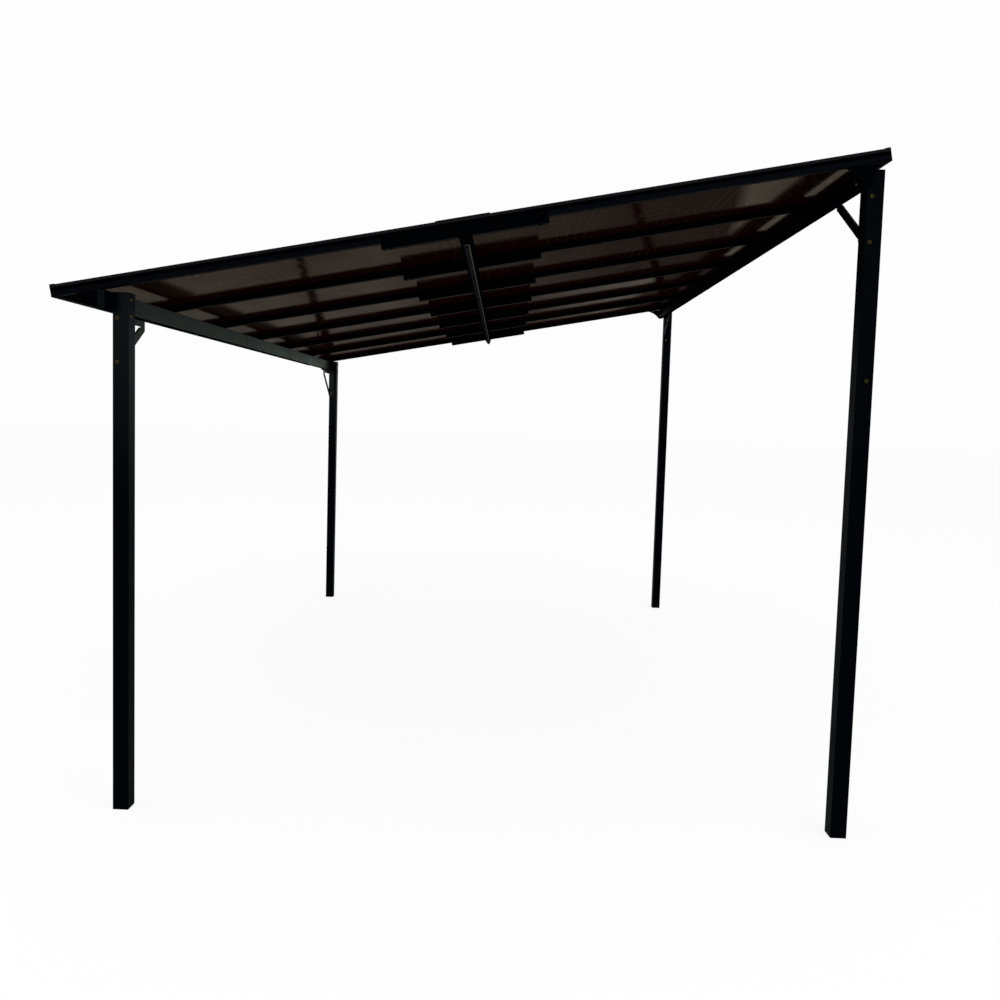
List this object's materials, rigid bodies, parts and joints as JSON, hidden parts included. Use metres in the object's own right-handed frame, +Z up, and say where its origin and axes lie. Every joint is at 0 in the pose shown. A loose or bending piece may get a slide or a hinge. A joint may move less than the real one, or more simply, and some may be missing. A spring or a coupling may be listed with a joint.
{
  "type": "sloped-roof pergola",
  "caption": "Open four-post steel pergola with a sloping roof of wood-grain panels on spliced rafters, side beams, knee braces and a centre channel.",
  "frame": {"origin": "on the ground, at the middle of the object's outline in plan", "axes": "+Z up; -Y is the front as pictured; +X points to the high side of the sloping roof, -X to the low side"},
  "size_m": [3.2208, 4.4746, 2.7132],
  "materials": {
    "frame": "near-black navy powder coat, satin",
    "panel": "glossy dark mahogany wood-grain sheet"
  },
  "bodies": {
    "root": {"post_front_low": "frame", "post_front_high": "frame", "post_back_low": "frame", "post_back_high": "frame", "side_beam_low_front": "frame", "side_beam_low_back": "frame", "side_beam_high_front": "frame", "side_beam_high_back": "frame", "knee_brace_front_low": "frame", "knee_brace_front_high": "frame", "knee_brace_back_low": "frame", "knee_brace_back_high": "frame", "rafter_1_low": "frame", "rafter_1_high": "frame", "rafter_2_low": "frame", "rafter_2_high": "frame", "rafter_3_low": "frame", "rafter_3_high": "frame", "rafter_4_low": "frame", "rafter_4_high": "frame", "rafter_5_low": "frame", "rafter_5_high": "frame", "rafter_6_low": "frame", "rafter_6_high": "frame", "rafter_7_low": "frame", "rafter_7_high": "frame", "splice_sleeve_1": "frame", "splice_sleeve_2": "frame", "splice_sleeve_3": "frame", "splice_sleeve_4": "frame", "splice_sleeve_5": "frame", "splice_sleeve_6": "frame", "splice_sleeve_7": "frame", "centre_channel": "frame", "eave_channel_low": "frame", "eave_channel_high": "frame", "edge_cover_front": "frame", "edge_cover_back": "frame", "roof_panel_1": "panel", "roof_panel_2": "panel", "roof_panel_3": "panel", "roof_panel_4": "panel", "roof_panel_5": "panel", "roof_panel_6": "panel"}
  },
  "joints": []
}
